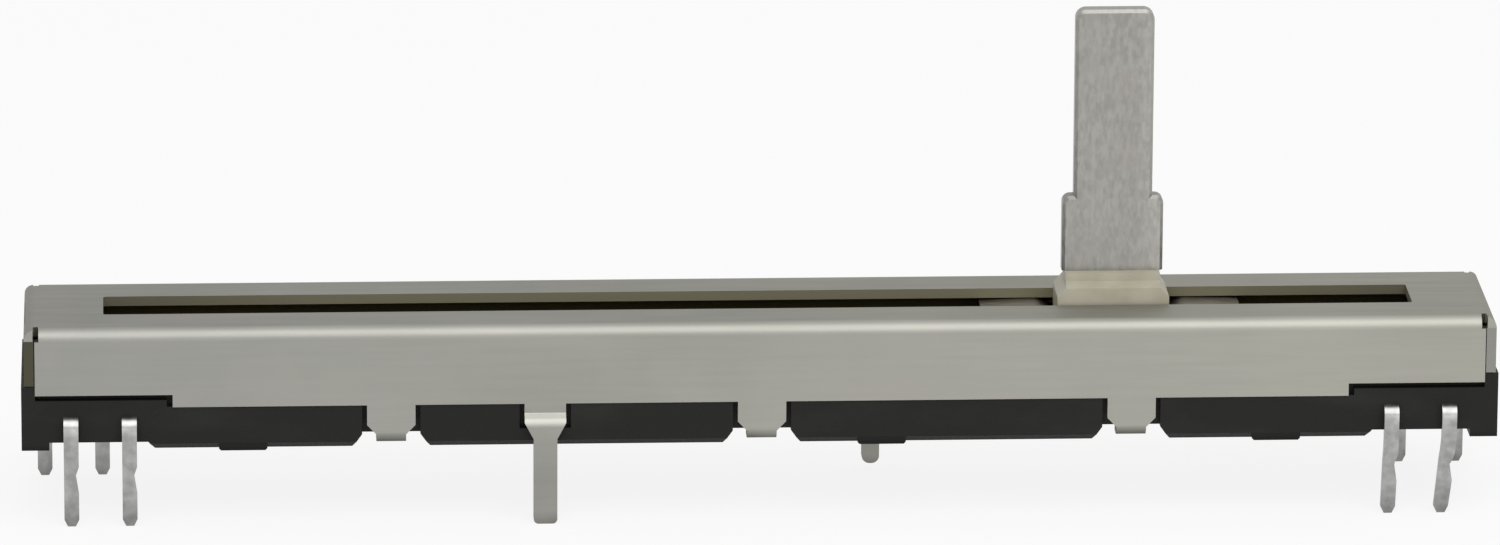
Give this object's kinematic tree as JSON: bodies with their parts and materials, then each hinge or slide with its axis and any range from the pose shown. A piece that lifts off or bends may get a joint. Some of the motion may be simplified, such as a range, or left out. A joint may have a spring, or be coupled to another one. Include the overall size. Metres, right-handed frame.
{
  "type": "dual slide potentiometer",
  "caption": "Slide potentiometer: folded steel cover over a black base, a flat metal lever that slides in a long slot, bent pin terminals at both ends and side mounting legs.",
  "frame": {"origin": "point on the circuit board's face below the middle of the body's length and width", "axes": "+X along the body towards the end that the lever is nearer to as stored, +Y to the rear row of terminals, +Z out of the board towards the lever"},
  "size_m": [0.075, 0.0098, 0.0255],
  "materials": {
    "cover_plating": "zinc-plated folded steel, semi-gloss",
    "base_moulding": "black glass-filled moulding, fine eroded texture",
    "laminate": "brown phenolic paper laminate",
    "carbon_print": "printed carbon, satin",
    "silver_print": "printed silver, satin",
    "carrier_moulding": "natural acetal",
    "lever_plating": "nickel-plated stamped steel, fine grain",
    "wiper_bronze": "spring bronze",
    "spring_bronze": "spring bronze",
    "terminal_tin": "tin-plated, slightly dull"
  },
  "bodies": {
    "frame": {"cover": "cover_plating", "base": "base_moulding", "element_board": "laminate", "resistor_track_front": "carbon_print", "resistor_track_rear": "carbon_print", "collector_track_front": "silver_print", "collector_track_rear": "silver_print", "track_end_pads": "silver_print", "terminal_front_left_outer": "terminal_tin", "terminal_front_left_inner": "terminal_tin", "terminal_front_right_outer": "terminal_tin", "terminal_front_right_inner": "terminal_tin", "terminal_rear_left_outer": "terminal_tin", "terminal_rear_left_inner": "terminal_tin", "terminal_rear_right_outer": "terminal_tin", "terminal_rear_right_inner": "terminal_tin"},
    "carriage": {"carrier": "carrier_moulding", "lever": "lever_plating", "wiper_front": "wiper_bronze", "wiper_rear": "wiper_bronze", "brake_spring": "spring_bronze"}
  },
  "joints": [
    {"name": "lever_slide", "type": "slide", "parent": "frame", "child": "carriage", "axis": [1, 0, 0], "range_m": [-0.04805, 0.01195]}
  ]
}
